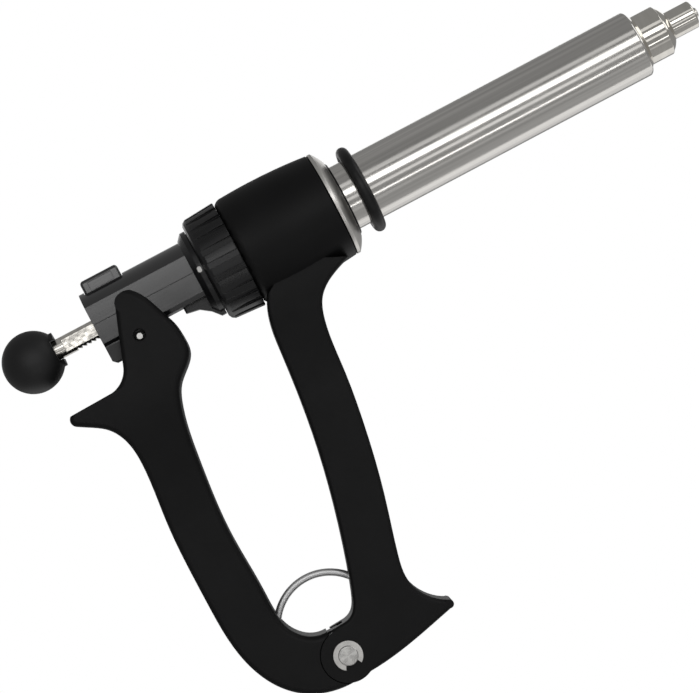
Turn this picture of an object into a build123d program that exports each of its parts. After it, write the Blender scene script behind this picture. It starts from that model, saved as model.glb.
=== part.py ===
"""Pistol-grip meat injector with a dose dial, built as separate pieces.

X runs along the barrel towards the needle, Z is up and Y is across. Outlines are drawn as (x, height)
pairs measured from the front face of the frame and from the barrel axis. The origin of the finished
part is on the barrel axis, at the front face of the needle collar.
"""
import os
from math import cos, radians, sin

from build123d import *

os.makedirs("parts", exist_ok=True)

# Driving dimensions, in mm
COLLAR_FACE = 160.4        # front face of the needle collar, ahead of the frame
BARREL_RADIUS = 14.0       # outside of the steel barrel
NECK_RADIUS = 13.75        # turned neck at the barrel's rear end, up to the rubber ring
BORE_RADIUS = 12.5         # inside of the steel barrel
BARREL_END = 135.0         # front end of the barrel tube
BARREL_START = -26.0       # rear end of the barrel tube, inside the frame
ML_TRAVEL = 2.037          # plunger travel for one millilitre in this bore
FRAME_REAR = -46.0         # rear face of the frame's barrel housing
NUT_SEAT = -4.2            # front face of the barrel housing, under the barrel nut
GUIDE_FLANGE = -61.5       # front face of the carrier guide's rear flange
GUIDE_REAR = -65.8         # rear face of the carrier guide
GUIDE_RADIUS = 16.9        # journal on the guide that the dose dial turns on
CARRIER_REAR = -110.4      # rear face of the carrier
CARRIER_NOSE = -52.0       # front end of the carrier, inside the guide
CARRIER_RADIUS = 15.2      # round top of the carrier
CARRIER_HALF = 12.4        # half width across the carrier's flats
ROD_RADIUS = 4.1           # plunger rod
PISTON_FACE = 109.0        # front face of the piston
PIVOT = (-82.7, -161.0)    # axis on which the rear handle swings
PIVOT_RADIUS = 4.0
CROSS_PIN = (-96.1, -11.1)  # pin through the fork and the carrier
PAWL_MIDDLE = -103.5       # middle of the pawl plate
GRIP_HALF = 11.0           # half width of both grips
FORK_HALF = 16.8           # half width over the fork plates
FORK_GAP = 12.8            # half width between the fork plates
TONGUE_HALF = 4.8          # half width of the rear handle inside the front handle's clevis
SLIDE_GAP = 0.3            # air between pieces that move past each other

SIDE = Plane((-COLLAR_FACE, 0, 0), x_dir=(1, 0, 0), z_dir=(0, -1, 0))
BARREL_AXIS = Axis((-COLLAR_FACE, 0, 0), (1, 0, 0))


def station(x):
    """Plane across the barrel axis, x ahead of the frame, with Y to the right and Z up."""
    return Plane((x - COLLAR_FACE, 0, 0), x_dir=(0, 1, 0), z_dir=(1, 0, 0))


def level(height):
    """Horizontal plane at a height above the barrel axis, drawn in (x, y)."""
    return Plane((-COLLAR_FACE, 0, height), x_dir=(1, 0, 0), z_dir=(0, 0, 1))


def turn(*outline, mode=Mode.ADD):
    """Turn a closed outline of (x, radius) points about the barrel axis."""
    with BuildSketch(SIDE) as profile:
        with BuildLine():
            Polyline(*outline, close=True)
        make_face()
    revolve(profile.sketch, BARREL_AXIS, mode=mode)


def bar_across(place, radius, half_length, mode=Mode.ADD):
    """Round bar across the tool, centred on its middle plane."""
    with BuildSketch(SIDE) as disc:
        with Locations(place):
            Circle(radius)
    extrude(disc.sketch, amount=half_length, both=True, mode=mode)


def block(x_low, x_high, half_width, z_low, z_high, mode=Mode.ADD):
    """Rectangular block, centred on the tool's middle plane."""
    with BuildSketch(level(z_low)) as base:
        with Locations(((x_low + x_high) / 2, 0)):
            Rectangle(x_high - x_low, 2 * half_width)
    extrude(base.sketch, amount=z_high - z_low, mode=mode)


def plate(outline, half_width, mode=Mode.ADD):
    """Straight-sided plate with a side outline of (x, height) points."""
    with BuildSketch(SIDE) as face:
        with BuildLine():
            Polyline(*outline, close=True)
        make_face()
    extrude(face.sketch, amount=half_width, both=True, mode=mode)


def coil(plane, radius, wire, length, turns):
    """Compression spring standing on a plane, its wire centre on the given radius."""
    with BuildLine():
        helix = Helix(length / turns, length, radius, center=plane.origin, direction=plane.z_dir)
    with BuildSketch(Plane(helix @ 0, z_dir=helix % 0)) as section:
        Circle(wire)
    sweep(section.sketch, path=helix)


# ---------------------------------------------------------------------------------------------
# Barrel, nozzle and the parts that hold them
# ---------------------------------------------------------------------------------------------
BARREL_COLLAR = (-15.0, -12.2)    # turned collar that the nut clamps
NOZZLE_SPIGOT = 126.0             # rear end of the nozzle, inside the barrel
NOZZLE_STEP = 146.2               # front face of the nozzle's large step
NOZZLE_SHOULDER = 136.4           # front end of the nozzle's tapered shoulder
NOZZLE_RADIUS = 10.6
LUER_COLLAR_RADIUS = 5.8
LUER_RADIUS = 2.1
LUER_ROOT_RADIUS = 2.9            # fatter root of the stub, pressed into the nozzle
LUER_ROOT = (-14.0, -8.0)         # the root's place, from the collar face
LUER_TIP = 161.9
NECK_END = 11.5                   # step from the neck to the full barrel
RING_PLACE = 8.9                  # rubber ring round the barrel
RING_CORD = 2.45

with BuildPart() as barrel_tube:
    turn((BARREL_START, BORE_RADIUS), (BARREL_START, NECK_RADIUS), (BARREL_COLLAR[0], NECK_RADIUS),
         (BARREL_COLLAR[0], 17.6), (BARREL_COLLAR[1], 17.6), (BARREL_COLLAR[1], NECK_RADIUS),
         (NECK_END, NECK_RADIUS), (NECK_END, BARREL_RADIUS), (BARREL_END, BARREL_RADIUS),
         (BARREL_END, BORE_RADIUS))
    front_edges = barrel_tube.edges().filter_by(GeomType.CIRCLE).group_by(Axis.X)[-1]
    fillet(front_edges.sort_by(SortBy.RADIUS)[-1], radius=1.4)
barrel_tube.part.label = "barrel_tube"
export_step(barrel_tube.part, "parts/barrel_tube.step")

with BuildPart() as nozzle:
    with BuildSketch(SIDE) as nozzle_profile:
        with BuildLine():
            spigot = Polyline((NOZZLE_SPIGOT, 1.5), (NOZZLE_SPIGOT, BORE_RADIUS - 0.03),
                              (BARREL_END, BORE_RADIUS - 0.03), (NOZZLE_SHOULDER, NOZZLE_RADIUS),
                              (NOZZLE_STEP - 0.6, NOZZLE_RADIUS))
            edge = TangentArc(spigot @ 1, (NOZZLE_STEP, NOZZLE_RADIUS - 0.6), tangent=spigot % 1)
            throat = ThreePointArc(edge @ 1, (NOZZLE_STEP + 1.9, 8.0),
                                   (NOZZLE_STEP + 3.1, LUER_COLLAR_RADIUS))
            collar = Line(throat @ 1, (COLLAR_FACE - 0.9, LUER_COLLAR_RADIUS))
            lip = TangentArc(collar @ 1, (COLLAR_FACE, LUER_COLLAR_RADIUS - 0.9), tangent=collar % 1)
            Polyline(lip @ 1, (COLLAR_FACE, 4.0), (COLLAR_FACE + LUER_ROOT[1], 3.9),
                     (COLLAR_FACE + LUER_ROOT[1], LUER_ROOT_RADIUS),
                     (COLLAR_FACE + LUER_ROOT[0], LUER_ROOT_RADIUS),
                     (COLLAR_FACE + LUER_ROOT[0], 1.5), (NOZZLE_SPIGOT, 1.5))
        make_face()
    revolve(axis=BARREL_AXIS)
nozzle.part.label = "nozzle"
export_step(nozzle.part, "parts/nozzle.step")

with BuildPart() as nozzle_gasket:
    turn((NOZZLE_SPIGOT - 1.5, 9.0), (NOZZLE_SPIGOT - 1.5, BORE_RADIUS - 0.03),
         (NOZZLE_SPIGOT, BORE_RADIUS - 0.03), (NOZZLE_SPIGOT, 9.0))
nozzle_gasket.part.label = "nozzle_gasket"
export_step(nozzle_gasket.part, "parts/nozzle_gasket.step")

with BuildPart() as luer_stub:
    turn((COLLAR_FACE + LUER_ROOT[0], 0.9), (COLLAR_FACE + LUER_ROOT[0], LUER_ROOT_RADIUS),
         (COLLAR_FACE + LUER_ROOT[1], LUER_ROOT_RADIUS), (COLLAR_FACE + LUER_ROOT[1], LUER_RADIUS),
         (LUER_TIP - 0.3, LUER_RADIUS), (LUER_TIP, LUER_RADIUS - 0.3), (LUER_TIP, 0.9))
luer_stub.part.label = "luer_stub"
export_step(luer_stub.part, "parts/luer_stub.step")

with BuildPart() as barrel_nut:
    with BuildSketch(SIDE) as nut_profile:
        with BuildLine():
            back = Polyline((0.4, 15.7), (-1.6, 15.7), (-1.6, NECK_RADIUS + 0.03),
                            (BARREL_COLLAR[1], NECK_RADIUS + 0.03), (BARREL_COLLAR[1], 17.95),
                            (NUT_SEAT, 17.95), (NUT_SEAT, 22.1), (NUT_SEAT + 1.3, 22.1))
            rim = ThreePointArc(back @ 1, (NUT_SEAT + 3.0, 19.8), (0.4, 16.8))
            Line(rim @ 1, back @ 0)
        make_face()
    revolve(axis=BARREL_AXIS)
barrel_nut.part.label = "barrel_nut"
export_step(barrel_nut.part, "parts/barrel_nut.step")

with BuildPart() as barrel_seal:
    turn((-1.6, NECK_RADIUS), (-1.6, 15.7), (0.8, 15.7), (1.2, 15.2), (1.2, NECK_RADIUS + 0.4),
         (0.8, NECK_RADIUS))
barrel_seal.part.label = "barrel_seal"
export_step(barrel_seal.part, "parts/barrel_seal.step")

with BuildPart() as barrel_ring:
    with BuildSketch(SIDE) as ring_section:
        with Locations((RING_PLACE, NECK_RADIUS + RING_CORD + 0.02)):
            Circle(RING_CORD)
    revolve(axis=BARREL_AXIS)
barrel_ring.part.label = "barrel_ring"
export_step(barrel_ring.part, "parts/barrel_ring.step")

# ---------------------------------------------------------------------------------------------
# Frame: barrel housing and front handle in one casting, with a clevis at the foot
# ---------------------------------------------------------------------------------------------
HOUSING_RADIUS = 22.1
EAR_RADIUS = 10.9
SPRING_CENTRE = (-83.4, -148.0)
SPRING_RADIUS = 21.2
SPRING_WIRE = 1.5
SPRING_ENDS = (10.0, 174.0)       # ends buried in the front and the rear handle, degrees from +X
SPRING_MOUTHS = (50.0, 134.0)     # where the spring leaves the front and enters the rear handle
BUSH_RADIUS = 9.0
DETENT_RADIUS = 19.4              # circle that the detent ball runs on
DETENT_BALL = 1.5


def grip_section(half_low, half_high, blend_low, blend_high, top):
    """Front view of a handle: straight grip that widens smoothly towards its top."""
    with BuildSketch(Plane.YZ) as view:
        with BuildLine():
            straight = Line((half_low, PIVOT[1] - 15), (half_low, blend_low))
            flare = Spline(straight @ 1, (half_high, blend_high), tangents=[(0, 1), (0, 1)])
            Polyline(flare @ 1, (half_high, top), (0, top))
            mirror(about=Plane.YZ)
            Line((-half_low, PIVOT[1] - 15), (half_low, PIVOT[1] - 15))
        make_face()
    return view.sketch


def spring_wire(radius, start, sweep_angle, mode=Mode.ADD):
    """Round wire bent to an arc over the pivot, from a start angle measured from +X."""
    with BuildLine(SIDE):
        bend = CenterArc(SPRING_CENTRE, SPRING_RADIUS, start, sweep_angle)
    with BuildSketch(Plane(bend @ 0, z_dir=bend % 0)) as section:
        Circle(radius)
    sweep(section.sketch, path=bend, mode=mode)


with BuildPart() as frame:
    with BuildSketch(SIDE) as front_grip:
        with BuildLine():
            front_edge = Spline((-8.5, -21.8), (-17.6, -25.3), (-25, -30.9), (-28.7, -40), (-31, -60),
                                (-33.8, -81), (-40.5, -113), (-46.5, -135), (-47.7, -146.6), (-43.6, -155.2),
                                (-37.4, -160.2))
            spur = ThreePointArc(front_edge @ 1, (-36.0, -162.1), (-37.6, -163.7))
            foot = Spline(spur @ 1, (-46.1, -165.7), (-58.3, -168.4), (-71.4, -170.4), (PIVOT[0], -170.9))
            crotch = Polyline(foot @ 1, (PIVOT[0] - 0.4, -152), (-84.4, -149.2), (-79, -148.9))
            rear_edge = Spline(crotch @ 1, (-73.2, -146.6), (-70.2, -141), (-65.9, -128.2), (-57.6, -96.5),
                               (-54.4, -80), (-51.6, -60), (-49.8, -42), (-48.4, -31), (-44.5, -20.5))
            Polyline(rear_edge @ 1, (-30, -12), front_edge @ 0)
        make_face()
    extrude(amount=FORK_HALF + 2, both=True)
    extrude(grip_section(GRIP_HALF, 15.0, -62, -18, 0), amount=2 * COLLAR_FACE, both=True,
            mode=Mode.INTERSECT)
    grip_edges = frame.edges().filter_by(lambda edge: abs(edge.center().Y) > GRIP_HALF - 1)
    fillet(grip_edges.filter_by(lambda edge: edge.length > 40 and edge.center().Z < -30), radius=1.5)
    with BuildSketch(SIDE) as ear:
        with Locations(PIVOT):
            Circle(EAR_RADIUS)
    extrude(ear.sketch, amount=GRIP_HALF, both=True)
    with BuildSketch(SIDE) as housing:
        with BuildLine():
            rear_face = Line((FRAME_REAR, 0), (FRAME_REAR, 21.3))
            shoulder = ThreePointArc(rear_face @ 1, (-44.8, 22.5), (-42.6, 23.1))
            crown = ThreePointArc(shoulder @ 1, (-35, 23.4), (NUT_SEAT - 0.7, HOUSING_RADIUS))
            Polyline(crown @ 1, (NUT_SEAT, HOUSING_RADIUS - 0.7), (NUT_SEAT, 0), rear_face @ 0)
        make_face()
    revolve(housing.sketch, BARREL_AXIS)
    # bores for the guide, the rod bush, the barrel and its nut, stepped along the axis
    turn((FRAME_REAR, 0), (FRAME_REAR, GUIDE_RADIUS + 0.05), (-36, GUIDE_RADIUS + 0.05),
         (-36, BUSH_RADIUS + 0.02),
         (BARREL_START, BUSH_RADIUS + 0.02), (BARREL_START, NECK_RADIUS + 0.03),
         (BARREL_COLLAR[0], NECK_RADIUS + 0.03), (BARREL_COLLAR[0], 18.0), (NUT_SEAT, 18.0), (NUT_SEAT, 0),
         mode=Mode.SUBTRACT)
    with BuildSketch(station(FRAME_REAR)) as detent_pocket:
        with Locations((0, DETENT_RADIUS)):
            Circle(DETENT_BALL + 0.1)
    extrude(detent_pocket.sketch, amount=8, mode=Mode.SUBTRACT)
    # clevis slot for the rear handle's tongue, open to the rear and the top
    with BuildSketch(SIDE) as slot:
        with Locations(PIVOT):
            Circle(9.8)
        with Locations((PIVOT[0] - 8.2, PIVOT[1] + 8)):
            Rectangle(24, 16)
        with Locations((PIVOT[0] - 10, PIVOT[1] - 8)):
            Rectangle(20, 16)
    extrude(slot.sketch, amount=TONGUE_HALF + SLIDE_GAP, both=True, mode=Mode.SUBTRACT)
    bar_across(PIVOT, PIVOT_RADIUS + 0.02, FORK_HALF, mode=Mode.SUBTRACT)
    spring_wire(SPRING_WIRE + 0.1, SPRING_ENDS[0] - 1, SPRING_MOUTHS[0] - SPRING_ENDS[0] + 1,
                mode=Mode.SUBTRACT)
frame.part.label = "frame"
export_step(frame.part, "parts/frame.step")

with BuildPart() as rod_bush:
    turn((-36, ROD_RADIUS + 0.06), (-36, BUSH_RADIUS), (BARREL_START, BUSH_RADIUS),
         (BARREL_START, ROD_RADIUS + 0.06))
rod_bush.part.label = "rod_bush"
export_step(rod_bush.part, "parts/rod_bush.step")

# ---------------------------------------------------------------------------------------------
# Carrier guide and dose dial behind the housing
# ---------------------------------------------------------------------------------------------
DIAL_REAR = -61.3
DIAL_FRONT = -46.3
DIAL_RADIUS = 23.0
RIB_COUNT = 24
FLUTE_DEPTH = 1.2
STOP_PIN_PLACE = -54.0
STOP_PIN_RADIUS = 1.3
UNDERSIDE = -8.8                  # flat running face under the carrier
UNDERSIDE_BEVEL = 1.8             # bevel along the underside's two edges


def carrier_section(x, gap):
    """Cross-section of the carrier at a station, grown outwards by a running gap."""
    side = CARRIER_HALF + gap
    floor = UNDERSIDE - gap
    with BuildSketch(station(x)) as section:
        Circle(CARRIER_RADIUS + gap)
        with BuildLine():
            Polyline((-side, 2 * side), (-side, floor + UNDERSIDE_BEVEL), (UNDERSIDE_BEVEL - side, floor),
                     (side - UNDERSIDE_BEVEL, floor), (side, floor + UNDERSIDE_BEVEL), (side, 2 * side),
                     close=True)
        make_face(mode=Mode.INTERSECT)
    return section.sketch


PIP = Plane((-63.1 - COLLAR_FACE, 0, 1.0), x_dir=(1, 0, 0), z_dir=(0, -1, 0)).offset(16.4)

with BuildPart() as carrier_guide:
    turn((GUIDE_REAR, 0), (GUIDE_REAR, 15.6), (-63.5, 18.2), (GUIDE_FLANGE, 18.2),
         (GUIDE_FLANGE, GUIDE_RADIUS),
         (-37, GUIDE_RADIUS), (-37, 0))
    plate([(-76, -9.1), (-76, -11.3), (-70.5, -12.3), (-66.5, -15.2), (-63.6, -18.6), (GUIDE_FLANGE, -18.6),
           (GUIDE_FLANGE, -9.1)], 6.0)
    tongue_end = carrier_guide.edges().filter_by(Axis.Z).group_by(Axis.X)[0]
    fillet(tongue_end, radius=1.0)
    extrude(carrier_section(GUIDE_REAR, SLIDE_GAP), amount=40, mode=Mode.SUBTRACT)
    # arc window that the dose stop pin travels in
    with BuildSketch(station(STOP_PIN_PLACE - 1.7)) as window:
        Circle(GUIDE_RADIUS + 2)
        Circle(CARRIER_RADIUS - 1, mode=Mode.SUBTRACT)
        Rectangle(60, 60, align=(Align.CENTER, Align.MIN), mode=Mode.INTERSECT)
    extrude(window.sketch, amount=3.4, mode=Mode.SUBTRACT)
    with BuildSketch(PIP) as pip_seat:
        RectangleRounded(1.7, 2.4, 0.7)
    extrude(pip_seat.sketch, amount=4, mode=Mode.SUBTRACT)
carrier_guide.part.label = "carrier_guide"
export_step(carrier_guide.part, "parts/carrier_guide.step")

with BuildPart() as index_pip:
    with BuildSketch(PIP) as pip:
        RectangleRounded(1.7, 2.4, 0.7)
    extrude(amount=1.95)
index_pip.part.label = "index_pip"
export_step(index_pip.part, "parts/index_pip.step")

with BuildPart() as dose_dial:
    turn((DIAL_REAR, GUIDE_RADIUS + 0.06), (DIAL_REAR, 19.8), (-60.6, 21.2), (-59.2, 22.1),
         (DIAL_FRONT - 0.3, DIAL_RADIUS), (DIAL_FRONT, DIAL_RADIUS - 0.3), (DIAL_FRONT, GUIDE_RADIUS + 0.06))
    with BuildSketch(station(DIAL_REAR + 1.5)) as flutes:
        with PolarLocations(DIAL_RADIUS, RIB_COUNT):
            Rectangle(2 * FLUTE_DEPTH, 2.6)
    extrude(flutes.sketch, amount=DIAL_FRONT - DIAL_REAR, mode=Mode.SUBTRACT)
    with BuildSketch(SIDE) as detent_track:
        with Locations((FRAME_REAR, DETENT_RADIUS)):
            Circle(DETENT_BALL + SLIDE_GAP)
    revolve(detent_track.sketch, BARREL_AXIS, mode=Mode.SUBTRACT)
    with BuildSketch(level(GUIDE_RADIUS - 4)) as stop_bore:
        with Locations((STOP_PIN_PLACE, 0)):
            Circle(STOP_PIN_RADIUS + 0.02)
    extrude(stop_bore.sketch, amount=8.0, mode=Mode.SUBTRACT)
dose_dial.part.label = "dose_dial"
export_step(dose_dial.part, "parts/dose_dial.step")

with BuildPart() as dose_stop_pin:
    with BuildSketch(level(CARRIER_RADIUS + 0.7)) as pin_section:
        with Locations((STOP_PIN_PLACE, 0)):
            Circle(STOP_PIN_RADIUS)
    extrude(amount=5.0)
dose_stop_pin.part.label = "dose_stop_pin"
export_step(dose_stop_pin.part, "parts/dose_stop_pin.step")

with BuildPart() as detent_ball:
    with BuildSketch(SIDE) as ball_half:
        with Locations((FRAME_REAR, DETENT_RADIUS)):
            Circle(DETENT_BALL)
            Rectangle(4, 4, align=(Align.CENTER, Align.MIN), mode=Mode.INTERSECT)
    revolve(axis=Axis((FRAME_REAR - COLLAR_FACE, 0, DETENT_RADIUS), (1, 0, 0)))
detent_ball.part.label = "detent_ball"
export_step(detent_ball.part, "parts/detent_ball.step")

with BuildPart() as detent_spring:
    spring_seat = Plane((FRAME_REAR - COLLAR_FACE + 7.75, 0, DETENT_RADIUS), z_dir=(-1, 0, 0))
    coil(spring_seat, 1.1, 0.22, 6.0, 6)
detent_spring.part.label = "detent_spring"
export_step(detent_spring.part, "parts/detent_spring.step")

# ---------------------------------------------------------------------------------------------
# Carrier: the slide that the rear handle pushes forwards, with its pawl and release button
# ---------------------------------------------------------------------------------------------
PARTING = 1.3                     # height of the joint between the carrier's two halves
BUTTON_SPAN = (-107.9, -91.4)
BUTTON_HALF = 5.6
BUTTON_BASE = 13.6
BUTTON_TOP = 19.3
BUTTON_TRAVEL = 1.8
PAWL_THICKNESS = 3.0
PAWL_HALF = 5.5
LUG_FRONT = -90.5
CARRIER_SCREWS = [(-72.0, 7.6), (-72.0, -7.6), (-87.0, 7.6), (-87.0, -7.6)]

with BuildPart() as carrier:
    extrude(carrier_section(CARRIER_REAR, 0), amount=CARRIER_NOSE - CARRIER_REAR)
    plate([(CARRIER_REAR, UNDERSIDE + 2), (CARRIER_REAR, -14.7), (CARRIER_REAR + 0.9, -15.6),
           (LUG_FRONT - 0.9, -15.6), (LUG_FRONT, -14.7), (LUG_FRONT, UNDERSIDE + 2)], CARRIER_HALF - 1.4)
    # rod channel, pawl slot, button pocket and the button's front leg slot
    with BuildSketch(station(CARRIER_REAR)) as channel:
        Circle(ROD_RADIUS + SLIDE_GAP)
    extrude(channel.sketch, amount=60, mode=Mode.SUBTRACT)
    block(PAWL_MIDDLE - PAWL_THICKNESS / 2 - 0.15, PAWL_MIDDLE + PAWL_THICKNESS / 2 + 0.15, PAWL_HALF + 0.2,
          -11.8, 12.0, mode=Mode.SUBTRACT)
    block(BUTTON_SPAN[0] - 0.3, BUTTON_SPAN[1] + 0.3, BUTTON_HALF + 0.3, 11.4, 20, mode=Mode.SUBTRACT)
    block(-96.15, -92.85, 4.15, 6.0, 12, mode=Mode.SUBTRACT)
    bar_across(CROSS_PIN, 2.12, FORK_HALF, mode=Mode.SUBTRACT)
    with BuildSketch(level(-14.0)) as spring_pocket:
        with Locations((PAWL_MIDDLE, 0)):
            Circle(2.3)
    extrude(spring_pocket.sketch, amount=4.6, mode=Mode.SUBTRACT)
    with BuildSketch(level(UNDERSIDE)) as screw_bores:
        with Locations(*CARRIER_SCREWS):
            Circle(1.52)
    extrude(screw_bores.sketch, amount=16.5, mode=Mode.SUBTRACT)
    with BuildSketch(level(UNDERSIDE)) as screw_seats:
        with Locations(*CARRIER_SCREWS):
            Circle(2.7)
    extrude(screw_seats.sketch, amount=1.8, mode=Mode.SUBTRACT)

with BuildPart() as carrier_base:
    add(carrier.part)
    split(bisect_by=level(PARTING - 0.05), keep=Keep.BOTTOM)
carrier_base.part.label = "carrier_base"
export_step(carrier_base.part, "parts/carrier_base.step")

with BuildPart() as carrier_cover:
    add(carrier.part)
    split(bisect_by=level(PARTING + 0.05), keep=Keep.TOP)
carrier_cover.part.label = "carrier_cover"
export_step(carrier_cover.part, "parts/carrier_cover.step")

with BuildPart() as carrier_screws:
    with BuildSketch(level(UNDERSIDE + 0.1)) as heads:
        with Locations(*CARRIER_SCREWS):
            Circle(2.6)
    extrude(heads.sketch, amount=1.7)
    with BuildSketch(level(UNDERSIDE + 1.0)) as shanks:
        with Locations(*CARRIER_SCREWS):
            Circle(1.5)
    extrude(shanks.sketch, amount=15)
    with BuildSketch(level(UNDERSIDE + 0.1)) as hex_sockets:
        with Locations(*CARRIER_SCREWS):
            RegularPolygon(1.2, 6)
    extrude(hex_sockets.sketch, amount=1.2, mode=Mode.SUBTRACT)
carrier_screws.part.label = "carrier_screws"
export_step(carrier_screws.part, "parts/carrier_screws.step")

with BuildPart() as cross_pin:
    bar_across(CROSS_PIN, 2.1, CARRIER_HALF + 0.2)
    bar_across(CROSS_PIN, 1.25, FORK_HALF - 0.4)
cross_pin.part.label = "cross_pin"
export_step(cross_pin.part, "parts/cross_pin.step")

with BuildPart() as release_button:
    plate([(BUTTON_SPAN[0], BUTTON_BASE), (BUTTON_SPAN[0], BUTTON_TOP), (BUTTON_SPAN[1], BUTTON_TOP),
           (BUTTON_SPAN[1], BUTTON_BASE)], BUTTON_HALF)
    upper_edges = release_button.edges().group_by(Axis.Z)[-1]
    fillet(upper_edges, radius=1.5)
    upright_edges = release_button.edges().filter_by(Axis.Z)
    fillet(upright_edges, radius=1.3)
    # shallow finger panels in the button's sides
    block(-104.9, -94.6, BUTTON_HALF, 14.3, 17.8, mode=Mode.SUBTRACT)
    block(-104.9, -94.6, BUTTON_HALF - 0.5, 14.3, 17.8)
    block(-96, -93, 4.0, 8.2, BUTTON_BASE)
release_button.part.label = "release_button"
export_step(release_button.part, "parts/release_button.step")

with BuildPart() as pawl_plate:
    block(PAWL_MIDDLE - PAWL_THICKNESS / 2, PAWL_MIDDLE + PAWL_THICKNESS / 2, PAWL_HALF, -9.7, BUTTON_BASE)
    block(PAWL_MIDDLE - PAWL_THICKNESS / 2, PAWL_MIDDLE + PAWL_THICKNESS / 2, ROD_RADIUS + 0.5,
          -ROD_RADIUS - SLIDE_GAP, ROD_RADIUS + BUTTON_TRAVEL + SLIDE_GAP, mode=Mode.SUBTRACT)
pawl_plate.part.label = "pawl_plate"
export_step(pawl_plate.part, "parts/pawl_plate.step")

with BuildPart() as button_spring:
    coil(Plane((PAWL_MIDDLE - COLLAR_FACE, 0, -13.6)), 1.7, 0.25, 3.6, 4)
button_spring.part.label = "button_spring"
export_step(button_spring.part, "parts/button_spring.step")

# ---------------------------------------------------------------------------------------------
# Plunger: toothed rod, ball knob and piston
# ---------------------------------------------------------------------------------------------
ROD_REAR = -136.0
FLAT_HALF = 3.2                   # half width across the rod's milled flats
TOOTH_DEPTH = 1.0
TOOTH_START = -120.5
TOOTH_COUNT = 52
BALL_PLACE = -138.8
BALL_RADIUS = 12.65
BALL_FACE = -127.2
PISTON_REAR = 93.0
PISTON_RADIUS = 12.2

with BuildPart() as plunger_rod:
    turn((ROD_REAR, 0), (ROD_REAR, ROD_RADIUS), (PISTON_REAR, ROD_RADIUS), (PISTON_REAR, 3.0),
         (PISTON_FACE - 1.2, 3.0), (PISTON_FACE - 1.2, 0))
    for side in (-1, 1):
        with BuildSketch(station(-125.0)) as flat:
            with Locations((side * (FLAT_HALF + 2), 0)):
                Rectangle(4, 4 * ROD_RADIUS)
        extrude(flat.sketch, amount=113, mode=Mode.SUBTRACT)
    notches = [(TOOTH_START, -ROD_RADIUS - 1)]
    for tooth in range(TOOTH_COUNT):
        root = TOOTH_START + tooth * ML_TRAVEL
        notches += [(root, TOOTH_DEPTH - ROD_RADIUS), (root + ML_TRAVEL * 0.8, -ROD_RADIUS)]
    plate(notches + [(TOOTH_START + TOOTH_COUNT * ML_TRAVEL, -ROD_RADIUS - 1)], ROD_RADIUS,
          mode=Mode.SUBTRACT)
plunger_rod.part.label = "plunger_rod"
export_step(plunger_rod.part, "parts/plunger_rod.step")

with BuildPart() as ball_knob:
    with BuildSketch(SIDE) as ball_profile:
        with Locations((BALL_PLACE, 0)):
            Circle(BALL_RADIUS)
        with Locations((BALL_FACE, 0)):
            Rectangle(9, 2 * 7.3, align=(Align.MAX, Align.CENTER))
            Rectangle(10, 40, align=(Align.MIN, Align.CENTER), mode=Mode.SUBTRACT)
        Rectangle(400, 40, align=(Align.CENTER, Align.MAX), mode=Mode.SUBTRACT)
    revolve(axis=BARREL_AXIS)
    block(BALL_FACE - 1.8, BALL_FACE + 1, 14, -4.4, 4.4, mode=Mode.SUBTRACT)
    turn((ROD_REAR, 0), (ROD_REAR, ROD_RADIUS + 0.01), (BALL_FACE, ROD_RADIUS + 0.01), (BALL_FACE, 0),
         mode=Mode.SUBTRACT)
ball_knob.part.label = "ball_knob"
export_step(ball_knob.part, "parts/ball_knob.step")

with BuildPart() as piston:
    turn((PISTON_REAR, 3.02), (PISTON_REAR, PISTON_RADIUS), (96, PISTON_RADIUS), (96, 10.0), (99, 10.0),
         (99, PISTON_RADIUS), (101, PISTON_RADIUS), (101, 10.0), (104, 10.0), (104, PISTON_RADIUS),
         (106, PISTON_RADIUS), (106, 3.02))
piston.part.label = "piston"
export_step(piston.part, "parts/piston.step")

with BuildPart() as piston_rings:
    with BuildSketch(SIDE) as ring_sections:
        with Locations((97.5, 11.22), (102.5, 11.22)):
            Circle(1.22)
    revolve(axis=BARREL_AXIS)
piston_rings.part.label = "piston_rings"
export_step(piston_rings.part, "parts/piston_rings.step")

with BuildPart() as piston_nut:
    with BuildSketch(station(106)) as nut_outline:
        RegularPolygon(5.0, 6)
        Circle(3.02, mode=Mode.SUBTRACT)
    extrude(amount=PISTON_FACE - 106)
piston_nut.part.label = "piston_nut"
export_step(piston_nut.part, "parts/piston_nut.step")

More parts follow.
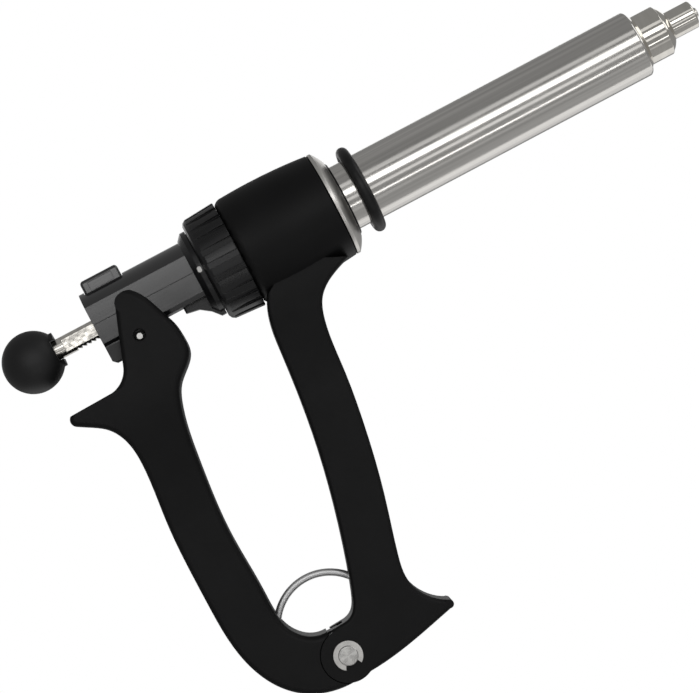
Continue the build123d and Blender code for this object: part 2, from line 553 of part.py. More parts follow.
# ---------------------------------------------------------------------------------------------
# Rear handle, pivot and return spring
# ---------------------------------------------------------------------------------------------
with BuildPart() as rear_handle:
    with BuildSketch(SIDE) as rear_grip:
        with BuildLine():
            front_run = Spline((-91.2, 7.0), (-87.3, 2), (-83.9, -6.5), (-81.8, -12.5), (-81.1, -18.5),
                               (-81.8, -25.6), (-85, -29.8), (-90.8, -35.1), (-94.4, -42.5), (-98.7, -65.6),
                               (-101.3, -98), (-100.5, -124), (-98.6, -140.3), (-93.6, -146.6),
                               (-86.2, -148.9))
            tongue = Polyline(front_run @ 1, (-81.2, -149.5), (-81.2, -154), (PIVOT[0], PIVOT[1]),
                              (PIVOT[0], -171.5), (-85.5, -171.6))
            rear_run = Spline(tongue @ 1, (-95, -170.7), (-104.5, -166.8), (-113.4, -158.3),
                              (-119.7, -144.6), (-122.3, -115), (-121.4, -80.5), (-119.1, -57),
                              (-120.4, -44.8), (-124.2, -38.2), (-129.4, -34.3), (-134.8, -31))
            horn = TangentArc(rear_run @ 1, (-135, -26.3), tangent=rear_run % 1)
            shelf = Line(horn @ 1, (-116.5, -25.8))
            hook = ThreePointArc(shelf @ 1, (-110.6, -23.1), (-107.4, -18.2))
            fork_rear = Polyline(hook @ 1, (-102.6, -5), (-99.3, 3.6))
            corner = ThreePointArc(fork_rear @ 1, (-98.2, 6.0), (-96.2, 7.3))
            ThreePointArc(corner @ 1, (-93.8, 7.6), front_run @ 0)
        make_face()
    extrude(amount=FORK_HALF, both=True)
    extrude(grip_section(GRIP_HALF, FORK_HALF, -84, -30, 12), amount=2 * COLLAR_FACE, both=True,
            mode=Mode.INTERSECT)
    # the sides stand clear of the front handle's ears and crotch
    with BuildSketch(SIDE) as ear_room:
        with Locations(PIVOT):
            Circle(EAR_RADIUS + SLIDE_GAP)
        with Locations((PIVOT[0] - 3.3, PIVOT[1] + 5)):
            Rectangle(10, 18, align=(Align.MIN, Align.CENTER))
    extrude(ear_room.sketch, amount=2 * FORK_HALF, both=True, mode=Mode.SUBTRACT)
    grip_runs = rear_handle.edges().filter_by(lambda edge: abs(edge.center().Y) > GRIP_HALF - 1)
    front_side = grip_runs.filter_by(lambda edge: edge.center().X > -103 - COLLAR_FACE)
    fillet(front_side.filter_by(lambda edge: edge.length > 40), radius=2.5)
    # rear edges, one side at a time: the fork plate first, then the long runs down the grip
    for side in (1, -1):
        outer = rear_handle.edges().filter_by(lambda edge: edge.center().Y * side > GRIP_HALF - 1)
        fork_edges = outer.filter_by(lambda edge: -118 < edge.center().X + COLLAR_FACE < -93
                                     and edge.center().Z > -24 and 8 < edge.length < 20)
        fillet(fork_edges, radius=2.0)
        outer = rear_handle.edges().filter_by(lambda edge: edge.center().Y * side > GRIP_HALF - 1)
        grip_edges = outer.filter_by(lambda edge: edge.center().X + COLLAR_FACE < -116
                                     and edge.length > 50 and edge.bounding_box().size.Z > 0.6)
        fillet(grip_edges, radius=2.0)
    # gap between the fork plates, with a round root
    with BuildSketch(station(-140)) as fork_gap:
        with BuildLine():
            gap_side = Polyline((-FORK_GAP, 20), (-FORK_GAP, -17.5))
            gap_root = RadiusArc(gap_side @ 1, (FORK_GAP, -17.5), -30)
            Polyline(gap_root @ 1, (FORK_GAP, 20), (-FORK_GAP, 20))
        make_face()
    extrude(fork_gap.sketch, amount=90, mode=Mode.SUBTRACT)
    # clearance holes for the cross pin, which travels straight while the fork swings on its arc
    with BuildSketch(SIDE) as pin_slots:
        with Locations((CROSS_PIN[0] + 0.1, CROSS_PIN[1] + 0.45)):
            Circle(2.5)
    extrude(pin_slots.sketch, amount=FORK_HALF + 1, both=True, mode=Mode.SUBTRACT)
    # tongue that fills the clevis of the front handle
    plate([(-95, -149.5), (-81.2, -149.5), (-81.2, -156), (PIVOT[0], PIVOT[1]), (PIVOT[0], -171),
           (-95, -169.5)], TONGUE_HALF)
    with BuildSketch(SIDE) as tongue_disc:
        with Locations(PIVOT):
            Circle(9.4)
            Circle(5.52, mode=Mode.SUBTRACT)
    extrude(tongue_disc.sketch, amount=TONGUE_HALF, both=True)
    bar_across(PIVOT, 5.52, TONGUE_HALF, mode=Mode.SUBTRACT)
    spring_wire(SPRING_WIRE + SLIDE_GAP, SPRING_MOUTHS[1], SPRING_ENDS[1] - SPRING_MOUTHS[1] + 1,
                mode=Mode.SUBTRACT)
rear_handle.part.label = "rear_handle"
export_step(rear_handle.part, "parts/rear_handle.step")

with BuildPart() as pivot_bush:
    bar_across(PIVOT, 5.5, TONGUE_HALF)
    bar_across(PIVOT, PIVOT_RADIUS + 0.06, TONGUE_HALF, mode=Mode.SUBTRACT)
pivot_bush.part.label = "pivot_bush"
export_step(pivot_bush.part, "parts/pivot_bush.step")

CLIP_SEAT = GRIP_HALF + 0.15      # inner face of each circlip
CLIP_THICKNESS = 0.8

with BuildPart() as pivot_pin:
    bar_across(PIVOT, PIVOT_RADIUS, CLIP_SEAT + CLIP_THICKNESS + 0.6)
    pin_ends = pivot_pin.edges().filter_by(GeomType.CIRCLE)
    chamfer(pin_ends, length=0.3)
    for side in (-1, 1):
        middle = side * (CLIP_SEAT + CLIP_THICKNESS / 2)
        with BuildSketch(SIDE.offset(middle)) as groove:
            with Locations(PIVOT):
                Circle(PIVOT_RADIUS + 1)
                Circle(PIVOT_RADIUS - 0.5, mode=Mode.SUBTRACT)
        extrude(groove.sketch, amount=CLIP_THICKNESS / 2 + 0.05, both=True, mode=Mode.SUBTRACT)
pivot_pin.part.label = "pivot_pin"
export_step(pivot_pin.part, "parts/pivot_pin.step")

with BuildPart() as pivot_circlips:
    for side in (-1, 1):
        with BuildSketch(SIDE.offset(side * (CLIP_SEAT + CLIP_THICKNESS / 2))) as clip:
            with Locations(PIVOT):
                Circle(5.95)
                Circle(PIVOT_RADIUS - 0.45, mode=Mode.SUBTRACT)
            with Locations((PIVOT[0], PIVOT[1] - 4)):
                Trapezoid(8.6, 5.0, 62, mode=Mode.SUBTRACT)
        extrude(clip.sketch, amount=CLIP_THICKNESS / 2, both=True)
pivot_circlips.part.label = "pivot_circlips"
export_step(pivot_circlips.part, "parts/pivot_circlips.step")

with BuildPart() as return_spring:
    spring_wire(SPRING_WIRE, SPRING_ENDS[0], SPRING_ENDS[1] - SPRING_ENDS[0])
return_spring.part.label = "return_spring"
export_step(return_spring.part, "parts/return_spring.step")
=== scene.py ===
"""Finishes, light and camera for a pistol-grip meat injector, laid out as an add-on."""
import math

import bmesh
import bpy
from bpy.props import FloatProperty, FloatVectorProperty, PointerProperty
from mathutils import Matrix, Vector


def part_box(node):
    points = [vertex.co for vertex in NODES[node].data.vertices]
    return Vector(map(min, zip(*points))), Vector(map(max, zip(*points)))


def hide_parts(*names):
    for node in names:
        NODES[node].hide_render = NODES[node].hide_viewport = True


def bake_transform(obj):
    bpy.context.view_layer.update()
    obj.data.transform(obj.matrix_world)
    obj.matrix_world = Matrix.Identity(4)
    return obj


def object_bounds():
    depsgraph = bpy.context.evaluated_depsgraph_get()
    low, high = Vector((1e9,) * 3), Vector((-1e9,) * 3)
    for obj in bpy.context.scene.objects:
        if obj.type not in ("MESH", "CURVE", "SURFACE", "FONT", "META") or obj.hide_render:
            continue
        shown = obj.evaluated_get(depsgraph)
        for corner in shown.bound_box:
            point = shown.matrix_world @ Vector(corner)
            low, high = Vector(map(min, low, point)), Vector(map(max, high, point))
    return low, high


bl_info = {
    "name": "Meat Injector Finishes",
    "version": (1, 0, 0),
    "blender": (4, 5, 0),
    "location": "View3D > Sidebar > Injector",
    "description": "Detailed pieces, finishes and a studio for a pistol-grip meat injector",
    "category": "Object",
}

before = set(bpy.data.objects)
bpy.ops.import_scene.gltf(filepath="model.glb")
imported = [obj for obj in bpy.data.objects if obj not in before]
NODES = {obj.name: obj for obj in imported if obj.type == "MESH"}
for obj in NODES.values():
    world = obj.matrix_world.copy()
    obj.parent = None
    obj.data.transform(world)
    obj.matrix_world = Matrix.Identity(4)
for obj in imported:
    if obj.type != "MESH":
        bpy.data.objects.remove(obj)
CAD_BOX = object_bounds()
SPRING_ENDS = (10.5, 173.5)   # where the return spring's wire ends inside the handles, degrees from +X
LUG_TOP = -0.0087      # underside of the carrier, with the duller lug below it
PIN_END = 0.0030       # bright length at each end of the cross pin
FLOOR_SIZE = 30         # half the floor's width
FLOOR_DROP = 1.2       # the tool hangs this far above the floor, clear of the low lights


# ---------------------------------------------------------------------------------------------
# Settings
# ---------------------------------------------------------------------------------------------
class InjectorFinish(bpy.types.PropertyGroup):
    """Colours and surface sizes of the injector's finishes."""

    coating: FloatVectorProperty(
        name="Soft coating", description="Colour of the matt coating on the frame and handles",
        subtype="COLOR", size=3, min=0, max=1, default=(0.0032, 0.0032, 0.0034))
    moulding: FloatVectorProperty(
        name="Moulding", description="Colour of the moulded dial and guide",
        subtype="COLOR", size=3, min=0, max=1, default=(0.0055, 0.0055, 0.006))
    steel: FloatVectorProperty(
        name="Barrel steel", description="Colour of the drawn stainless barrel",
        subtype="COLOR", size=3, min=0, max=1, default=(0.80, 0.78, 0.745))
    nickel: FloatVectorProperty(
        name="Nickel", description="Colour of the polished nickel plate",
        subtype="COLOR", size=3, min=0, max=1, default=(0.86, 0.83, 0.77))
    grain: FloatProperty(
        name="Grain", description="Size of the fine grain in the matt coating",
        subtype="DISTANCE", unit="LENGTH", min=0.0001, max=0.002, default=0.00035)
    edge: FloatProperty(
        name="Edge rounding", description="Radius that catches the light along moulded edges",
        subtype="DISTANCE", unit="LENGTH", min=0.0, max=0.002, default=0.0004)


class InjectorStudio(bpy.types.PropertyGroup):
    """Camera and light."""

    distance: FloatProperty(
        name="Camera distance", description="From the camera to the tool's middle plane",
        subtype="DISTANCE", unit="LENGTH", min=0.3, max=3.0, default=1.13664)
    lens: FloatProperty(
        name="Lens", description="Focal length", unit="CAMERA", min=20, max=300, default=146.44)
    swing: FloatProperty(
        name="Swing", description="How far the muzzle is turned away from the camera",
        subtype="ANGLE", unit="ROTATION", min=-0.5, max=0.5, default=math.radians(2.0906))
    roll: FloatProperty(
        name="Roll", description="How far the barrel rises in the picture",
        subtype="ANGLE", unit="ROTATION", min=-1.6, max=1.6, default=math.radians(27.967))
    fill: FloatProperty(
        name="Fill", description="Strength of the even light from all round", min=0.0, max=2.0, default=0.24)


# ---------------------------------------------------------------------------------------------
# Shader building
# ---------------------------------------------------------------------------------------------
class Field:
    """One shader socket that carries numbers, with Python's operators standing for Math nodes."""

    def __init__(self, finish, socket):
        self.finish = finish
        self.socket = socket

    def maths(self, operation, *values):
        node = self.finish.node("ShaderNodeMath", {"operation": operation}, dict(enumerate(values)))
        return self.finish.field(node, "Value")

    def __add__(self, other):
        return self.maths("ADD", self, other)

    def __radd__(self, other):
        return self.maths("ADD", other, self)

    def __sub__(self, other):
        return self.maths("SUBTRACT", self, other)

    def __rsub__(self, other):
        return self.maths("SUBTRACT", other, self)

    def __mul__(self, other):
        return self.maths("MULTIPLY", self, other)

    def __rmul__(self, other):
        return self.maths("MULTIPLY", other, self)

    def spread(self, low, high, to_low=0.0, to_high=1.0):
        """The range low to high spread over another range, held at its ends."""
        node = self.finish.node("ShaderNodeMapRange", {"clamp": True}, {
            "Value": self, "From Min": low, "From Max": high, "To Min": to_low, "To Max": to_high})
        return self.finish.field(node, "Result")


class Finish:
    """A material being built on a Principled surface."""

    def __init__(self, name):
        self.material = bpy.data.materials.new(name)
        self.material.use_nodes = True
        self.tree = self.material.node_tree
        self.tree.nodes.clear()
        self.surface = self.node("ShaderNodeBsdfPrincipled")
        self.output = self.node("ShaderNodeOutputMaterial", inputs={"Surface": self.surface.outputs["BSDF"]})
        self.place = self.node("ShaderNodeTexCoord").outputs["Object"]

    def node(self, kind, settings=None, inputs=None):
        node = self.tree.nodes.new(kind)
        for key, value in (settings or {}).items():
            setattr(node, key, value)
        for key, value in (inputs or {}).items():
            self.feed(node.inputs[key], value)
        return node

    def feed(self, socket, value):
        if isinstance(value, Field):
            value = value.socket
        if isinstance(value, bpy.types.NodeSocket):
            self.tree.links.new(value, socket)
        else:
            socket.default_value = value

    def field(self, node, output):
        return Field(self, node.outputs[output])

    def set(self, **sockets):
        for key, value in sockets.items():
            self.feed(self.surface.inputs[key.replace("_", " ")], value)

    def stretched(self, x, y, z):
        """Object coordinates scaled along each axis, in cycles per metre."""
        mapping = self.node("ShaderNodeMapping", inputs={"Vector": self.place, "Scale": (x, y, z)})
        return mapping.outputs["Vector"]

    def noise(self, vector, scale=1.0, detail=3.0, roughness=0.5, distortion=0.0):
        node = self.node("ShaderNodeTexNoise", inputs={
            "Vector": vector, "Scale": scale, "Detail": detail, "Roughness": roughness,
            "Distortion": distortion})
        return self.field(node, "Fac")

    def blend(self, share, first, second):
        """Mix of two colours by a share."""
        node = self.node("ShaderNodeMix", {"data_type": "RGBA"}, {0: share, 6: first, 7: second})
        return node.outputs[2]

    def seen_as_white(self):
        """Let the camera see plain white, while other pieces see the surface itself."""
        white = self.node("ShaderNodeEmission", inputs={"Color": (1, 1, 1, 1), "Strength": 1.0})
        ray = self.node("ShaderNodeLightPath")
        mix = self.node("ShaderNodeMixShader", inputs={
            0: ray.outputs["Is Camera Ray"], 1: self.surface.outputs["BSDF"], 2: white.outputs["Emission"]})
        self.feed(self.output.inputs["Surface"], mix.outputs["Shader"])

    def edge_normal(self, radius):
        return self.node("ShaderNodeBevel", {"samples": 4}, {"Radius": radius}).outputs["Normal"]

    def relief(self, height, depth, normal=None):
        """Surface normal from a height field, with its depth in metres."""
        inputs = {"Height": height, "Strength": 1.0, "Distance": depth}
        if normal is not None:
            inputs["Normal"] = normal
        return self.node("ShaderNodeBump", inputs=inputs).outputs["Normal"]


def rgba(colour, gain=1.0):
    return (*[min(1.0, c * gain) for c in colour], 1.0)


# ---------------------------------------------------------------------------------------------
# Finishes
# ---------------------------------------------------------------------------------------------
def coated_black():
    """Matt, slightly soft coating over the frame and the rear handle."""
    look = bpy.context.scene.injector_finish
    f = Finish("coated_black")
    clouds = f.noise(f.stretched(60, 60, 60), detail=4.0)
    grain = f.noise(f.place, scale=1 / look.grain, detail=2.0)
    handled = f.noise(f.stretched(18, 18, 9), detail=5.0, roughness=0.6)
    colour = f.blend(clouds.spread(0.35, 0.7), rgba(look.coating), rgba(look.coating, 1.6))
    f.set(Base_Color=colour, Roughness=0.40 + grain * 0.10 + handled.spread(0.35, 0.7) * 0.10,
          Specular_IOR_Level=0.20)
    f.set(Normal=f.relief(grain, 0.000018, f.edge_normal(look.edge)))
    return f.material


def moulded_black():
    """Moulded nylon with a slight sheen, for the dial and the carrier guide."""
    look = bpy.context.scene.injector_finish
    f = Finish("moulded_black")
    flow = f.noise(f.stretched(40, 220, 220), detail=4.0)
    pits = f.noise(f.place, scale=2600, detail=2.0)
    f.set(Base_Color=f.blend(flow.spread(0.3, 0.7), rgba(look.moulding), rgba(look.moulding, 1.8)),
          Roughness=0.20 + flow * 0.10 + pits * 0.06, Specular_IOR_Level=0.45)
    f.set(Normal=f.relief(pits, 0.000006, f.edge_normal(look.edge)))
    return f.material


def polished_black():
    """Smooth, glossier black of the carrier and its button, with faint rub marks."""
    look = bpy.context.scene.injector_finish
    f = Finish("polished_black")
    rubs = f.noise(f.stretched(30, 900, 900), detail=3.0, distortion=0.4)
    haze = f.noise(f.stretched(90, 90, 90), detail=4.0)
    height = f.field(f.node("ShaderNodeSeparateXYZ", inputs={0: f.place}), "Z")
    lug = height.spread(LUG_TOP - 0.0003, LUG_TOP + 0.0003, 1.0, 0.0)
    f.set(Base_Color=f.blend(haze.spread(0.35, 0.7), rgba(look.moulding, 0.9), rgba(look.moulding, 1.7)),
          Roughness=0.10 + haze * 0.08 + rubs.spread(0.6, 0.75) * 0.10 + lug * 0.45, Specular_IOR_Level=0.9,
          Coat_Weight=0.75 - lug * 0.75, Coat_Roughness=0.14)
    f.set(Normal=f.relief(rubs, 0.000004, f.edge_normal(look.edge)))
    return f.material


def knob_black():
    """Matt ball with a soft, wide highlight."""
    look = bpy.context.scene.injector_finish
    f = Finish("knob_black")
    clouds = f.noise(f.stretched(150, 150, 150), detail=4.0)
    grain = f.noise(f.place, scale=1800, detail=2.0)
    f.set(Base_Color=f.blend(clouds.spread(0.35, 0.7), rgba(look.coating, 1.1), rgba(look.coating, 1.8)),
          Roughness=0.44 + grain * 0.10 + clouds * 0.06, Specular_IOR_Level=0.5)
    f.set(Normal=f.relief(grain, 0.00001, f.edge_normal(0.0004)))
    return f.material


def drawn_steel():
    """Bright stainless tube with fine lines along its length."""
    look = bpy.context.scene.injector_finish
    f = Finish("drawn_steel")
    lines = f.noise(f.stretched(14, 5200, 5200), detail=3.0, roughness=0.6)
    bands = f.noise(f.stretched(5, 420, 420), detail=3.0)
    smears = f.noise(f.stretched(45, 60, 60), detail=5.0, roughness=0.6)
    colour = f.blend(bands.spread(0.35, 0.65), rgba(look.steel, 0.82), rgba(look.steel, 1.12))
    f.set(Base_Color=colour, Metallic=1.0,
          Roughness=0.10 + lines.spread(0.3, 0.7) * 0.08 + smears.spread(0.45, 0.75) * 0.07)
    f.set(Normal=f.relief(lines + bands * 0.6, 0.0000035, f.edge_normal(0.0003)))
    return f.material


def turned_steel():
    """Satin steel with fine turning rings about the barrel axis."""
    look = bpy.context.scene.injector_finish
    f = Finish("turned_steel")
    rings = f.noise(f.stretched(9000, 60, 60), detail=3.0)
    stain = f.noise(f.stretched(120, 120, 120), detail=4.0)
    f.set(Base_Color=f.blend(stain.spread(0.3, 0.7), rgba(look.steel, 0.86), rgba(look.steel, 1.05)),
          Metallic=1.0, Roughness=0.26 + rings * 0.10 + stain * 0.06)
    f.set(Normal=f.relief(rings, 0.000004, f.edge_normal(0.0004)))
    return f.material


def bright_nickel():
    """Polished nickel plate, faintly warm, with a light orange peel."""
    look = bpy.context.scene.injector_finish
    f = Finish("bright_nickel")
    peel = f.noise(f.stretched(260, 260, 260), detail=3.0)
    wipe = f.noise(f.stretched(500, 90, 90), detail=4.0)
    f.set(Base_Color=f.blend(wipe.spread(0.3, 0.7), rgba(look.nickel, 0.93), rgba(look.nickel, 1.05)),
          Metallic=1.0, Roughness=0.055 + wipe.spread(0.4, 0.75) * 0.06)
    f.set(Normal=f.relief(peel, 0.000012, f.edge_normal(0.0003)))
    return f.material


def rod_nickel():
    """Nickel plate over milled flats, with shallow cutter scallops and rubbed lines."""
    look = bpy.context.scene.injector_finish
    f = Finish("rod_nickel")
    scallops = f.node("ShaderNodeTexVoronoi", {"feature": "SMOOTH_F1"}, {
        "Vector": f.stretched(520, 200, 420), "Scale": 1.0, "Smoothness": 0.6})
    cups = f.field(scallops, "Distance")
    rubs = f.noise(f.stretched(25, 2500, 2500), detail=3.0)
    f.set(Base_Color=f.blend(cups.spread(0.1, 0.8), rgba(look.nickel, 1.1), rgba(look.nickel, 0.85)),
          Metallic=1.0, Roughness=0.10 + rubs * 0.12 + cups * 0.06)
    f.set(Normal=f.relief(cups + rubs * 0.2, 0.00007, f.edge_normal(0.00025)))
    return f.material


def spring_steel():
    """Polished wire and small hard parts, with faint drawing lines."""
    f = Finish("spring_steel")
    lines = f.noise(f.stretched(1800, 1800, 1800), detail=3.0)
    tone = f.noise(f.stretched(200, 200, 200), detail=3.0)
    f.set(Base_Color=f.blend(tone.spread(0.3, 0.7), (0.50, 0.49, 0.47, 1), (0.62, 0.61, 0.59, 1)),
          Metallic=1.0, Roughness=0.14 + lines * 0.10)
    f.set(Normal=f.relief(lines, 0.000003, f.edge_normal(0.0002)))
    return f.material


def pin_steel():
    """Turned end faces of the pivot pin: rings about the pivot."""
    f = Finish("pin_steel")
    low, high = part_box("pivot_pin")
    centre = (low + high) / 2
    mapping = f.node("ShaderNodeMapping", inputs={"Vector": f.place, "Location": tuple(-centre)})
    flat = f.node("ShaderNodeVectorMath", {"operation": "MULTIPLY"}, {
        0: mapping.outputs["Vector"], 1: (1, 0, 1)})
    reach = f.node("ShaderNodeVectorMath", {"operation": "LENGTH"}, {0: flat.outputs["Vector"]})
    wave = f.field(reach, "Value").maths("SINE", f.field(reach, "Value") * (2 * math.pi / 0.00028))
    tone = f.noise(f.stretched(300, 300, 300), detail=3.0)
    f.set(Base_Color=f.blend(tone.spread(0.3, 0.7), (0.56, 0.55, 0.53, 1), (0.68, 0.67, 0.65, 1)),
          Metallic=1.0, Roughness=0.16 + tone * 0.08)
    f.set(Normal=f.relief(wave, 0.000008, f.edge_normal(0.0002)))
    return f.material


def cross_pin_steel_painted_shade():
    """Steel pin with bright, turned-down ends; its middle is painted near-black as painted shade for where
    it sits deep in the holes.
    """
    f = Finish("cross_pin_steel_painted_shade")
    low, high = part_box("cross_pin")
    end = high.y - PIN_END
    across = f.field(f.node("ShaderNodeSeparateXYZ", inputs={0: f.place}), "Y")
    bright = across.maths("ABSOLUTE", across).spread(end, end + 0.0004)
    tone = f.noise(f.stretched(400, 400, 400), detail=3.0)
    # the near-black base colour away from the ends is painted shade for the pin inside the holes, not a real
    # blackened finish
    f.set(Base_Color=f.blend(bright, (0.012, 0.012, 0.012, 1), (0.66, 0.65, 0.63, 1)),
          Metallic=1.0, Roughness=0.30 - bright * 0.12 + tone * 0.06)
    f.set(Normal=f.relief(tone, 0.000005, f.edge_normal(0.0002)))
    return f.material


def nitrile():
    """Black rubber with a soft shine."""
    f = Finish("nitrile")
    bloom = f.noise(f.stretched(220, 220, 220), detail=4.0)
    skin = f.noise(f.place, scale=3500, detail=2.0)
    f.set(Base_Color=f.blend(bloom.spread(0.4, 0.75), (0.006, 0.006, 0.006, 1), (0.014, 0.014, 0.014, 1)),
          Roughness=0.30 + bloom * 0.12 + skin * 0.05, Specular_IOR_Level=0.32)
    f.set(Normal=f.relief(skin, 0.000006))
    return f.material


def sintered_bronze():
    """Porous bronze of the bushes."""
    f = Finish("sintered_bronze")
    pores = f.noise(f.place, scale=2400, detail=3.0)
    tone = f.noise(f.stretched(250, 250, 250), detail=3.0)
    f.set(Base_Color=f.blend(tone.spread(0.3, 0.7), (0.36, 0.23, 0.11, 1), (0.48, 0.32, 0.16, 1)),
          Metallic=1.0, Roughness=0.32 + pores * 0.16)
    f.set(Normal=f.relief(pores, 0.000015, f.edge_normal(0.0002)))
    return f.material


def index_white():
    """Pale colour on the index pip: a painted highlight standing in for the glint on the collar's rounded
    shoulder.
    """
    f = Finish("index_white")
    tone = f.noise(f.stretched(900, 900, 900), detail=3.0)
    # the pale base colour is a painted highlight, not a real enamel mark
    f.set(Base_Color=f.blend(tone.spread(0.3, 0.7), (0.72, 0.71, 0.68, 1), (0.86, 0.85, 0.82, 1)),
          Roughness=0.22 + tone * 0.12)
    f.set(Normal=f.relief(tone, 0.00001))
    return f.material


WEARS = {
    coated_black: ["frame", "rear_handle"],
    moulded_black: ["dose_dial", "carrier_guide"],
    polished_black: ["carrier_base", "carrier_cover", "release_button"],
    knob_black: ["ball_knob"],
    drawn_steel: ["barrel_tube"],
    turned_steel: ["barrel_nut", "piston", "piston_nut"],
    bright_nickel: ["nozzle", "luer_stub"],
    rod_nickel: ["plunger_rod"],
    spring_steel: ["pivot_circlips", "button_spring", "detent_spring", "detent_ball", "carrier_screws",
                   "dose_stop_pin", "pawl_plate"],
    pin_steel: ["pivot_pin"],
    cross_pin_steel_painted_shade: ["cross_pin"],
    nitrile: ["barrel_ring", "barrel_seal", "nozzle_gasket", "piston_rings"],
    sintered_bronze: ["rod_bush", "pivot_bush"],
    index_white: ["index_pip"],
}


class INJECTOR_OT_finishes(bpy.types.Operator):
    """Give every carried-over piece its finish"""

    bl_idname = "injector.finishes"
    bl_label = "Finishes"

    def execute(self, context):
        for make, names in WEARS.items():
            material = make()
            for name in names:
                data = NODES[name].data
                data.materials.clear()
                data.materials.append(material)
        return {"FINISHED"}


# ---------------------------------------------------------------------------------------------
# Pieces
# ---------------------------------------------------------------------------------------------
def new_piece(name, bm, material, smooth=True):
    """Turn a bmesh into an object at the origin, with its place in its mesh."""
    bmesh.ops.remove_doubles(bm, verts=bm.verts, dist=1e-7)
    bmesh.ops.recalc_face_normals(bm, faces=bm.faces)
    mesh = bpy.data.meshes.new(name)
    bm.to_mesh(mesh)
    bm.free()
    for polygon in mesh.polygons:
        polygon.use_smooth = smooth
    mesh.materials.append(material)
    piece = bpy.data.objects.new(name, mesh)
    bpy.context.collection.objects.link(piece)
    return piece


class INJECTOR_OT_return_spring(bpy.types.Operator):
    """Round wire that pushes the two handles apart"""

    bl_idname = "injector.return_spring"
    bl_label = "Return spring"

    def execute(self, context):
        low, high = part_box("return_spring")
        wire = (high.y - low.y) / 2
        radius = (high.x - low.x) / 2 - wire
        centre = Vector(((low.x + high.x) / 2, 0, high.z - wire - radius))
        bm = bmesh.new()
        first, last = (math.radians(angle) for angle in SPRING_ENDS)
        start = centre + Vector((math.cos(first), 0, math.sin(first))) * radius
        ring = bmesh.ops.create_circle(bm, cap_ends=True, segments=24, radius=wire)
        turn = Matrix.Translation(start) @ Matrix.Rotation(-first, 4, "Y")
        bmesh.ops.transform(bm, matrix=turn, verts=ring["verts"])
        bmesh.ops.spin(bm, geom=bm.verts[:] + bm.edges[:] + bm.faces[:], cent=centre, axis=(0, -1, 0),
                       angle=last - first, steps=72)
        wire_piece = new_piece("return_spring_wire", bm, bpy.data.materials["spring_steel"])
        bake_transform(wire_piece)
        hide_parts("return_spring")
        return {"FINISHED"}


# ---------------------------------------------------------------------------------------------
# Studio
# ---------------------------------------------------------------------------------------------
AIM = Vector((-0.18497, 0, -0.053395))     # middle of the picture, on the tool's middle plane
LIT_POINT = Vector((-0.08, 0, 0))          # point on the barrel that the soft boxes face

# Each box: degrees up from the camera's side, radiance, width in degrees, length and distance in metres,
# and where it isn't square on to the barrel, the degrees round towards the muzzle
SOFT_BOXES = {
    "front_box": (11.5, 1.7, 16.5, 1.6, 1.3),
    "front_fill": (37.0, 0.48, 13.0, 1.6, 1.3),
    "low_strip": (-13.5, 0.62, 9.0, 1.6, 1.3),
    "knee_strip": (-37.3, 1.9, 3.6, 1.6, 1.3),
    "foot_strip": (-55.0, 0.16, 8.0, 1.6, 1.3),
    "back_glow": (168.0, 0.8, 20.0, 2.4, 1.6),
    "back_low": (-122.0, 0.48, 56.0, 2.4, 1.3),
    "muzzle_box": (18.0, 1.3, 44.0, 0.7, 1.3, 80.0),
}


def soft_box(name, toward, radiance, width, length, distance, turn=0.0):
    """Rectangular light that faces the barrel, on a bearing in degrees.

    toward is the angle up from the camera's side, and turn the angle round towards the muzzle.
    """
    rise = math.radians(toward)
    round_to = math.radians(turn)
    across = Vector((math.cos(round_to), math.sin(round_to), 0))
    ahead = Vector((math.sin(round_to), -math.cos(round_to), 0))
    direction = ahead * math.cos(rise) + Vector((0, 0, math.sin(rise)))
    data = bpy.data.lights.new(name, "AREA")
    data.shape = "RECTANGLE"
    data.size = length
    data.size_y = 2 * distance * math.tan(math.radians(width) / 2)
    data.energy = radiance * math.pi * data.size * data.size_y
    lamp = bpy.data.objects.new(name, data)
    lamp.visible_camera = False
    lamp.matrix_world = Matrix.Translation(LIT_POINT + direction * distance) @ Matrix(
        (across, direction.cross(across), direction)).transposed().to_4x4()
    bpy.context.collection.objects.link(lamp)


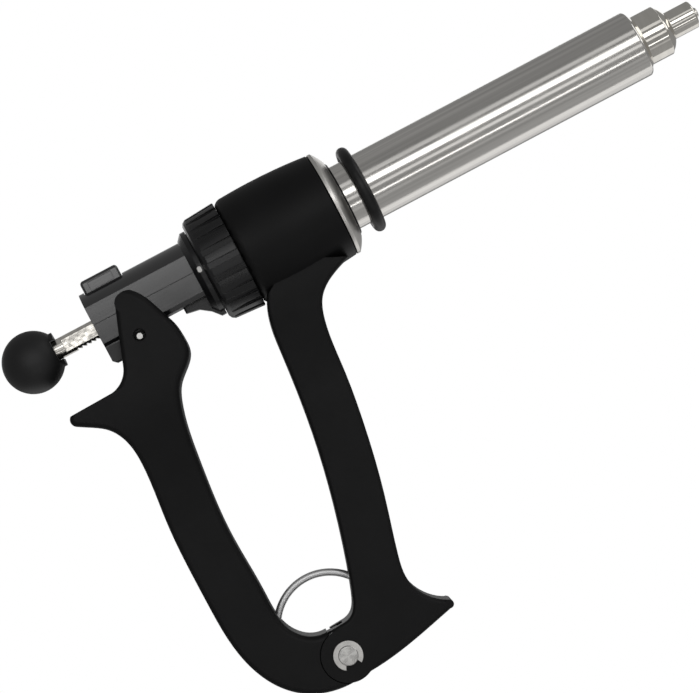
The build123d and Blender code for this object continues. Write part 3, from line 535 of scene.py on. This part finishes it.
class INJECTOR_OT_stage(bpy.types.Operator):
    """Pale floor, soft light and the camera"""

    bl_idname = "injector.stage"
    bl_label = "Stage"

    def execute(self, context):
        studio = context.scene.injector_studio
        self.make_floor()
        self.make_sky(context.scene, studio.fill)
        self.make_lights()
        self.make_camera(context.scene, studio)
        context.scene.view_settings.view_transform = "Standard"
        return {"FINISHED"}

    def make_floor(self):
        bm = bmesh.new()
        bmesh.ops.create_grid(bm, x_segments=1, y_segments=1, size=FLOOR_SIZE)
        bmesh.ops.translate(bm, verts=bm.verts, vec=(0, 0, CAD_BOX[0].z - FLOOR_DROP))
        f = Finish("pale_floor")
        f.set(Base_Color=(0.35, 0.35, 0.35, 1), Roughness=0.9, Emission_Color=(1, 1, 1, 1),
              Emission_Strength=0.16)
        f.seen_as_white()
        floor = new_piece("floor", bm, f.material, smooth=False)

    def make_sky(self, scene, fill):
        world = bpy.data.worlds.new("studio")
        scene.world = world
        world.use_nodes = True
        tree = world.node_tree
        tree.nodes.clear()
        seen = tree.nodes.new("ShaderNodeBackground")
        seen.inputs["Color"].default_value = (1, 1, 1, 1)
        even = tree.nodes.new("ShaderNodeBackground")
        even.inputs["Color"].default_value = (fill, fill, fill, 1)
        ray = tree.nodes.new("ShaderNodeLightPath")
        mix = tree.nodes.new("ShaderNodeMixShader")
        out = tree.nodes.new("ShaderNodeOutputWorld")
        tree.links.new(ray.outputs["Is Camera Ray"], mix.inputs[0])
        tree.links.new(even.outputs[0], mix.inputs[1])
        tree.links.new(seen.outputs[0], mix.inputs[2])
        tree.links.new(mix.outputs[0], out.inputs["Surface"])

    def make_lights(self):
        for name, settings in SOFT_BOXES.items():
            soft_box(name, *settings)

    def make_camera(self, scene, studio):
        ahead = Vector((math.sin(studio.swing), math.cos(studio.swing), 0))
        along = Vector((math.cos(studio.swing), -math.sin(studio.swing), 0))
        upward = Vector((0, 0, 1))
        right = along * math.cos(studio.roll) - upward * math.sin(studio.roll)
        up = along * math.sin(studio.roll) + upward * math.cos(studio.roll)
        data = bpy.data.cameras.new("camera")
        data.lens = studio.lens
        data.sensor_width = 36
        camera = bpy.data.objects.new("camera", data)
        camera.matrix_world = Matrix.Translation(AIM - ahead * studio.distance) @ Matrix(
            (right, up, -ahead)).transposed().to_4x4()
        scene.collection.objects.link(camera)
        scene.camera = camera


# ---------------------------------------------------------------------------------------------
# Add-on
# ---------------------------------------------------------------------------------------------
class INJECTOR_PT_panel(bpy.types.Panel):
    """Buttons that make the injector's pieces and studio"""

    bl_idname = "INJECTOR_PT_panel"
    bl_label = "Injector"
    bl_space_type = "VIEW_3D"
    bl_region_type = "UI"
    bl_category = "Injector"

    def draw(self, context):
        for operator in OPERATORS:
            self.layout.operator(operator.bl_idname)
        for group in (context.scene.injector_finish, context.scene.injector_studio):
            for name in group.__annotations__:
                self.layout.prop(group, name)


OPERATORS = [INJECTOR_OT_finishes, INJECTOR_OT_return_spring, INJECTOR_OT_stage]
GROUPS = {"injector_finish": InjectorFinish, "injector_studio": InjectorStudio}


def register():
    for group in (*GROUPS.values(), *OPERATORS, INJECTOR_PT_panel):
        bpy.utils.register_class(group)
    for name, group in GROUPS.items():
        setattr(bpy.types.Scene, name, PointerProperty(type=group))


def unregister():
    for name in GROUPS:
        delattr(bpy.types.Scene, name)
    for group in reversed((*GROUPS.values(), *OPERATORS, INJECTOR_PT_panel)):
        bpy.utils.unregister_class(group)


def main():
    """Make every piece and the studio."""
    register()
    for operator in OPERATORS:
        family, action = operator.bl_idname.split(".")
        getattr(getattr(bpy.ops, family), action)()


if __name__ == "__main__":
    main()
